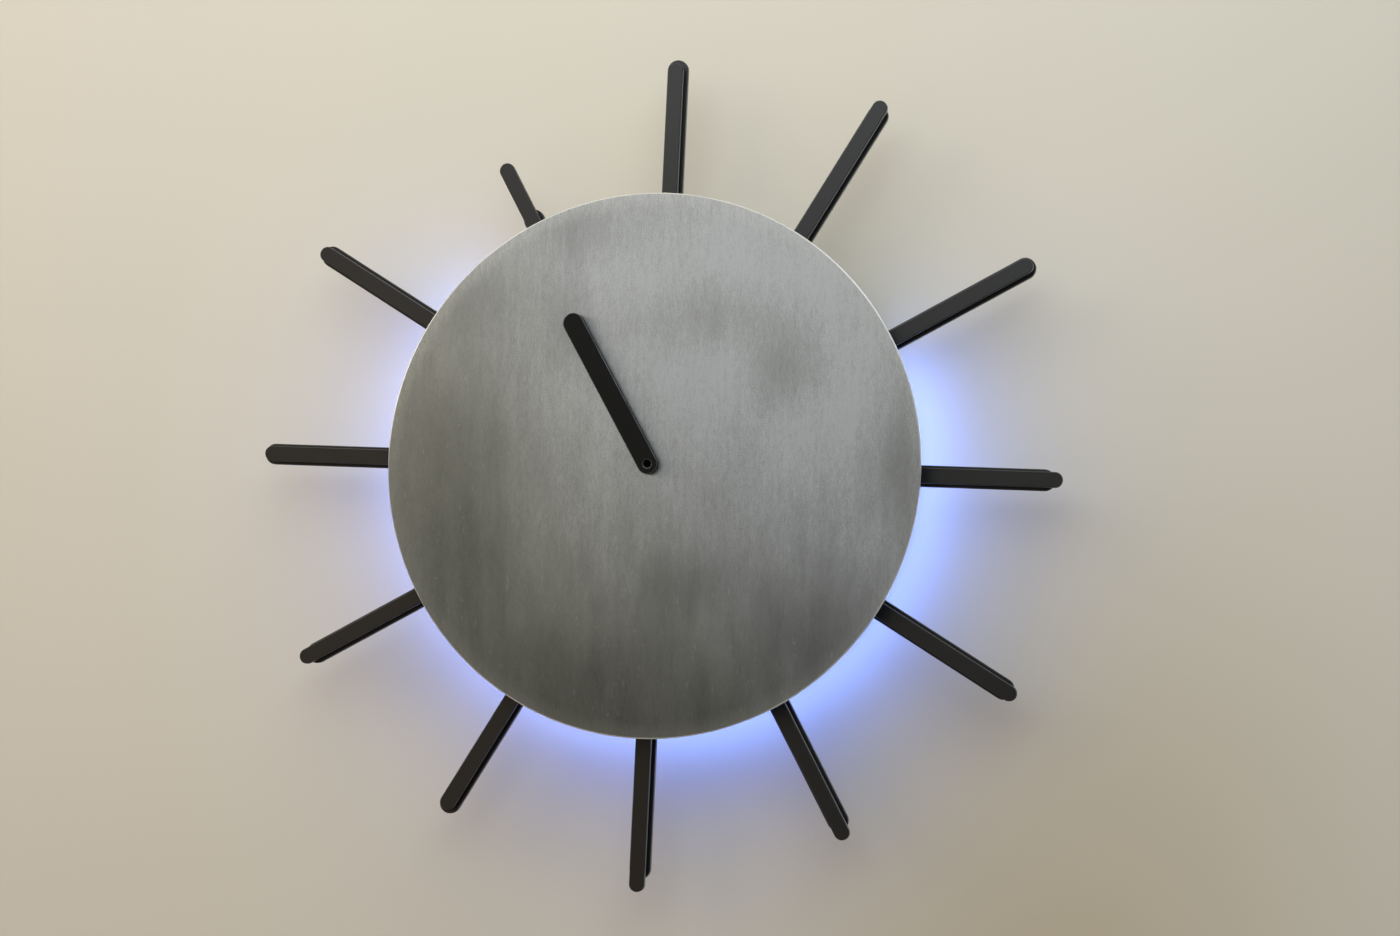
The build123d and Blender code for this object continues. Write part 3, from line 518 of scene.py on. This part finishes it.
# circuit board, told apart by depth: the sheet, then chips and plugs on its back
board = {
    "mask": rgb(26, 84, 52),
    "trace": rgb(44, 118, 72),
    "pad": rgb(206, 180, 104),
    "chip": rgb(30, 30, 32),
    "plug": rgb(226, 222, 208),
    "sheet": 0.0016,
    "chipFoot": 0.0002,  # behind the sheet's back, where a chip starts
    "chipTop": 0.0016,  # and where only plugs go on
    "runScale": 110.0,
    "runEdge": 0.62,
    "cellScale": 160.0,
    "cellEdge": 0.28,
    "dotScale": 230.0,
    "dotSpread": 0.65,
    "dotRadius": 0.16,
    "roughness": 0.35,
    "smoother": 0.03,  # how much smoother the mask is
    "chipRough": 0.2,  # how much rougher a chip is than the mask
    "bump": (0.3, 0.0001),
}


def makeBoard():
    material, tree, shader, where = newMaterial("boardMask", {"Roughness": board["roughness"]})
    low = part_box("controller_board")[0]
    behind = reckon(tree, "SUBTRACT", split(tree, where["Object"])["Y"], low.y + board["sheet"])
    # copper runs under the mask: slanting lines, cut by a coarse cell pattern
    inputs = {"Vector": where["Object"], "Scale": board["runScale"], "Distortion": 0.0}
    lines = put(tree, "ShaderNodeTexWave", inputs, bands_direction="DIAGONAL").outputs["Fac"]
    cells = cellDistance(tree, where["Object"], board["cellScale"], distance="CHEBYCHEV")
    runs = reckon(tree, "GREATER_THAN", lines, board["runEdge"])
    runs = reckon(tree, "MULTIPLY", runs, reckon(tree, "GREATER_THAN", cells, board["cellEdge"]))
    dots = cellDistance(tree, where["Object"], board["dotScale"], board["dotSpread"])
    vias = reckon(tree, "LESS_THAN", dots, board["dotRadius"])
    isChip = reckon(tree, "GREATER_THAN", behind, board["chipFoot"])
    isPlug = reckon(tree, "GREATER_THAN", behind, board["chipTop"])
    color = tint(tree, runs, board["mask"], board["trace"])
    color = tint(tree, vias, color, board["pad"])
    color = tint(tree, isChip, color, board["chip"])
    color = tint(tree, isPlug, color, board["plug"])
    rough = reckon(tree, "MULTIPLY_ADD", isChip, board["chipRough"], board["roughness"] - board["smoother"])
    height = reckon(tree, "MULTIPLY", runs, reckon(tree, "SUBTRACT", 1.0, isChip))
    feed(tree, shader, color=color, roughness=rough, normal=bump(tree, height, *board["bump"]))
    return material


# opal cover of the light, a little dimmer between the chips behind it
opal = {
    "color": rgb(150, 168, 206),
    "second": rgb(134, 152, 194),
    "roughness": 0.45,
    "cloudScale": 900.0,
    "bump": (0.1, 0.0001),
    "glow": (0.22, 0.41, 1.0, 1.0),
    "unlit": (0.0, 0.0, 0.0, 1.0),
    "strength": 1.3,
    "chips": 60,
    "sweep": 250.0,  # degrees that the chips are spread over
    "dimming": 0.1,
}


def makeDiffuser():
    sockets = {"Roughness": opal["roughness"], "Emission Strength": opal["strength"]}
    material, tree, shader, where = newMaterial("diffuserOpal", sockets)
    spot = split(tree, where["Object"])
    angle = reckon(tree, "ARCTAN2", spot["X"], spot["Z"])
    beats = reckon(tree, "SINE", reckon(tree, "MULTIPLY", angle, opal["chips"] * 360 / opal["sweep"]))
    beats = reckon(tree, "MULTIPLY_ADD", beats, opal["dimming"], 1 - opal["dimming"])
    cloud = effect(tree, fineSpeckle, Vector=where["Object"], Scale=opal["cloudScale"])
    color = tint(tree, cloud["Tone"], opal["color"], opal["second"])
    glow = tint(tree, beats, opal["unlit"], opal["glow"])
    feed(tree, shader, color=color, glow=glow, normal=bump(tree, cloud["Height"], *opal["bump"]))
    return material


# white tape with copper pads, and yellow chips where it stands out furthest
tape = {
    "color": rgb(232, 232, 226),
    "second": rgb(212, 212, 206),
    "chip": rgb(238, 214, 120),
    "chipRise": 0.0008,
    "copper": rgb(200, 150, 96),
    "padScale": 190.0,
    "padSpread": 0.2,
    "padRadius": 0.2,
    "roughness": 0.5,
    "speckle": 1200.0,
    "bump": (0.1, 0.0001),
}


def makeTape():
    material, tree, shader, where = newMaterial("tapeStrip", {"Roughness": tape["roughness"]})
    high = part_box("light_tape")[1]
    reach = fromAxis(tree, split(tree, where["Object"]))
    isChip = reckon(tree, "GREATER_THAN", reach, high.x - tape["chipRise"])
    speckle = effect(tree, fineSpeckle, Vector=where["Object"], Scale=tape["speckle"])
    pads = cellDistance(tree, where["Object"], tape["padScale"], tape["padSpread"])
    isPad = reckon(tree, "LESS_THAN", pads, tape["padRadius"])
    color = tint(tree, speckle["Tone"], tape["color"], tape["second"])
    color = tint(tree, isPad, color, tape["copper"])
    color = tint(tree, isChip, color, tape["chip"])
    feed(tree, shader, color=color, normal=bump(tree, speckle["Height"], *tape["bump"]))
    return material


# power inlet: a glossy moulding with a bright pin in its bore
inlet = {
    "color": rgb(28, 28, 29),
    "second": rgb(44, 44, 45),
    "pin": rgb(205, 200, 190),
    "pinRadius": 0.0012,
    "roughness": 0.25,
    "speckle": 1500.0,
    "bump": (0.08, 0.0001),
}


def makeInlet():
    material, tree, shader, where = newMaterial("inletGloss", {"Roughness": inlet["roughness"]})
    low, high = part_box("power_inlet")
    middle = (low + high) / 2
    speckle = effect(tree, fineSpeckle, Vector=where["Object"], Scale=inlet["speckle"])
    centred = mapped(tree, where["Object"], (1, 1, 0), shift=(-middle.x, -middle.y, 0))
    isPin = reckon(tree, "LESS_THAN", span(tree, centred), inlet["pinRadius"])
    color = tint(tree, speckle["Tone"], inlet["color"], inlet["second"])
    color = tint(tree, isPin, color, inlet["pin"])
    normal = bump(tree, speckle["Height"], *inlet["bump"])
    feed(tree, shader, color=color, metallic=isPin, normal=normal)
    return material


finishes = {
    "disc_brushed": makeDisc(),
    "bar_black": makeAnodised("barBlack", blackBars),
    "hand_black": makeAnodised("handBlack", blackHand),
    "board": makeBoard(),
    "diffuser_opal": makeDiffuser(),
    "tape_white": makeTape(),
    "inlet_plastic": makeInlet(),
}
for slot, look in plainFinishes.items():
    finishes[slot] = makePlain(slot, look)
for slot, look in metalFinishes.items():
    finishes[slot] = makeMetal(slot, look)

ownFinish = {"hand_screw": "blackened"}  # where a node's finish isn't its slot's

for row in frame["record"]["subparts"]:
    finish = finishes[ownFinish.get(row["node"], row["material_slot"])]
    for place in nodes[row["node"]].material_slots:
        place.material = finish

# wall behind the clock, plain and pale; seen from behind it isn't there
wall = {
    "size": 14.0,
    "behind": 0.0004,
    "color": rgb(222, 215, 201),
    "second": rgb(217, 209, 194),
    "toneScale": 2.2,
    "roughness": 0.8,
    "specular": 0.2,
    "peelScale": 420.0,
    "bump": (0.06, 0.0006),
    # a soft patch of shade at the lower right
    "shade": (0.82, 0.765, 0.65, 1.0),  # share of the tone that is left in it
    "shadeMiddle": (0.28, -0.45),
    "shadeHalf": (0.21, 0.46),
    "shadeEdge": (1.35, 0.05),  # shares of its half size where it starts and where it is full
    "shadeLean": 14.0,  # degrees that its top leans to the right
}


def wallShade(tree, where):
    across, up = wall["shadeMiddle"]
    halfWidth, halfHeight = wall["shadeHalf"]
    moved = mapped(tree, where["Object"], shift=(-across, 0, -up))
    leaned = mapped(tree, moved, turn=(0, math.radians(-wall["shadeLean"]), 0))
    patch = mapped(tree, leaned, (1 / halfWidth, 0, 1 / halfHeight))
    return between(tree, span(tree, patch), *wall["shadeEdge"])


def makeWall():
    bpy.ops.object.select_all(action="DESELECT")
    upright = (math.radians(90), 0, 0)
    bpy.ops.mesh.primitive_plane_add(size=wall["size"], location=(0, wall["behind"], 0), rotation=upright)
    plane = bpy.context.active_object
    plane.name = "wall"
    bpy.ops.object.transform_apply(location=True, rotation=True, scale=True)
    sockets = {"Roughness": wall["roughness"], "Specular IOR Level": wall["specular"]}
    material, tree, shader, where = newMaterial("wallPaint", sockets)
    soft = noise(tree, where["Object"], wall["toneScale"], detail=3.0, roughness=0.5)
    peel = noise(tree, where["Object"], wall["peelScale"], detail=3.0, roughness=0.6)
    color = tint(tree, soft, wall["color"], wall["second"])
    color = tint(tree, wallShade(tree, where), color, wall["shade"], "MULTIPLY")
    feed(tree, shader, color=color, normal=bump(tree, peel, *wall["bump"]))
    clear = put(tree, "ShaderNodeBsdfTransparent").outputs[0]
    rear = put(tree, "ShaderNodeNewGeometry").outputs["Backfacing"]
    shown = put(tree, "ShaderNodeMixShader", {0: rear, 1: shader.outputs["BSDF"], 2: clear}).outputs[0]
    out = next(node for node in tree.nodes if node.type == "OUTPUT_MATERIAL")
    tree.links.new(shown, out.inputs["Surface"])
    plane.data.materials.append(material)
    plane.visible_shadow = False  # so the lamps behind it reach the clock's back


makeWall()

# lamps: name, place, size, power in watts, colour, how often its light may bounce, and a node that
# its light passes by
lamps = (
    ("keyLamp", (0.0, -1.0, 1.0), 1.8, 14.2, (0.92, 0.985, 1.0), 8, "face_disc"),
    ("leftLamp", (-2.2, -1.2, 1.2), 2.0, 28.0, (1.0, 0.915, 0.775), 8, None),
    ("rightLamp", (0.5, -0.8, 0.9), 1.6, 2.2, (0.5, 0.75, 1.0), 8, None),
    ("lowLamp", (-1.0, -1.4, -0.1), 1.8, 3.1, (1.0, 0.62, 0.26), 8, "face_disc"),
    ("rearLamp", (-0.9, 1.8, 1.0), 1.8, 105.0, (1.0, 0.98, 0.95), 0, None),
    ("rearFill", (1.4, 1.5, 0.2), 1.4, 36.0, (0.95, 0.98, 1.0), 0, None),
)


def addLamp(name, place, turn, power, color, **shape):
    # a lamp shines along its own -Z
    data = bpy.data.lights.new(name, "AREA")
    for key, value in shape.items():
        setattr(data, key, value)
    data.energy = power
    data.color = color
    lamp = bpy.data.objects.new(name, data)
    bpy.context.scene.collection.objects.link(lamp)
    lamp.location = place
    lamp.rotation_euler = turn
    lamp.visible_camera = False
    return lamp


def makeLamps():
    for name, place, size, power, color, bounces, passed in lamps:
        towardsClock = Vector(place).to_track_quat("Z", "Y").to_euler()
        lamp = addLamp(name, place, towardsClock, power, color, shape="DISK", size=size)
        lamp.data.cycles.max_bounces = bounces
        if passed:
            passedBy = bpy.data.collections.new(name + "Passes")
            passedBy.objects.link(nodes[passed])
            passedBy.collection_objects[0].light_linking.link_state = "EXCLUDE"
            lamp.light_linking.receiver_collection = passedBy


makeLamps()

# the light that the opal cover throws: short lamps side by side along its arc, facing outwards
strip = {
    "from": 62.0,  # degrees clockwise from twelve
    "to": 312.0,
    "count": 25,
    "radiance": 26.6,  # watts per square metre and steradian in the strongest colour
    "color": (0.197, 0.314, 1.0),
    "clear": 0.0004,  # before the cover's face
}


def makeStrip():
    low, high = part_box("light_diffuser")
    reach = high.x + strip["clear"]
    step = (strip["to"] - strip["from"]) / strip["count"]
    length = reach * math.radians(step)
    wide = high.y - low.y
    power = strip["radiance"] * math.pi * length * wide
    shape = {"shape": "RECTANGLE", "size": length, "size_y": wide}
    for index in range(strip["count"]):
        angle = math.radians(strip["from"] + (index + 0.5) * step)
        out = Vector((math.sin(angle), 0, math.cos(angle)))
        along = Vector((math.cos(angle), 0, -math.sin(angle)))
        place = out * reach + Vector((0, (low.y + high.y) / 2, 0))
        # the long side lies along the arc and the short one along Y
        turn = Matrix((along, Vector((0, -1, 0)), -out)).transposed().to_euler()
        addLamp("stripLamp%02d" % index, place, turn, power, strip["color"], **shape)


makeStrip()

# world: an even room with a brighter front above the eye, and pale where it is seen
room = {
    "around": (0.132, 0.131, 0.126, 1.0),
    "front": (0.420, 0.428, 0.432, 1.0),
    "towards": (-0.22, -0.97, 0.0),
    "side": (0.70, 0.92),  # cosines from that direction, where the front ends and where it is full
    "foot": (-0.07, 0.08),  # heights on the unit sphere, where it starts and where it is full
    "head": (0.75, 0.50),
    "floor": (0.245, 0.241, 0.233, 1.0),
    "floorTop": (-0.20, -0.38),
    "cove": (1.10, 1.10, 1.08, 1.0),  # a lit strip of ceiling along the wall
    "coveFoot": (0.40, 0.65),
    "coveFront": (-0.42, -0.22),  # depths on the unit sphere, where it starts and where it is full
    "coveBack": (0.10, 0.02),
    "seen": rgb(226, 222, 214),
}


def makeWorld():
    world = bpy.data.worlds.new("room")
    bpy.context.scene.world = world
    world.use_nodes = True
    tree = world.node_tree
    tree.nodes.clear()
    where = put(tree, "ShaderNodeTexCoord").outputs["Generated"]
    axes = split(tree, where)
    depth, height = axes["Y"], axes["Z"]
    inputs = {0: where, 1: Vector(room["towards"]).normalized()}
    ahead = put(tree, "ShaderNodeVectorMath", inputs, operation="DOT_PRODUCT").outputs["Value"]
    bright = between(tree, ahead, *room["side"])
    for edge in ("foot", "head"):
        bright = reckon(tree, "MULTIPLY", bright, between(tree, height, *room[edge]))
    color = tint(tree, bright, room["around"], room["front"])
    color = tint(tree, between(tree, height, *room["floorTop"]), color, room["floor"])
    cove = between(tree, height, *room["coveFoot"])
    for edge in ("coveFront", "coveBack"):
        cove = reckon(tree, "MULTIPLY", cove, between(tree, depth, *room[edge]))
    color = tint(tree, cove, color, room["cove"])
    seen = put(tree, "ShaderNodeLightPath").outputs["Is Camera Ray"]
    color = tint(tree, seen, color, room["seen"])
    shader = put(tree, "ShaderNodeBackground", {"Color": color}).outputs[0]
    out = put(tree, "ShaderNodeOutputWorld")
    tree.links.new(shader, out.inputs["Surface"])


makeWorld()
print("wall, lamps and world set")
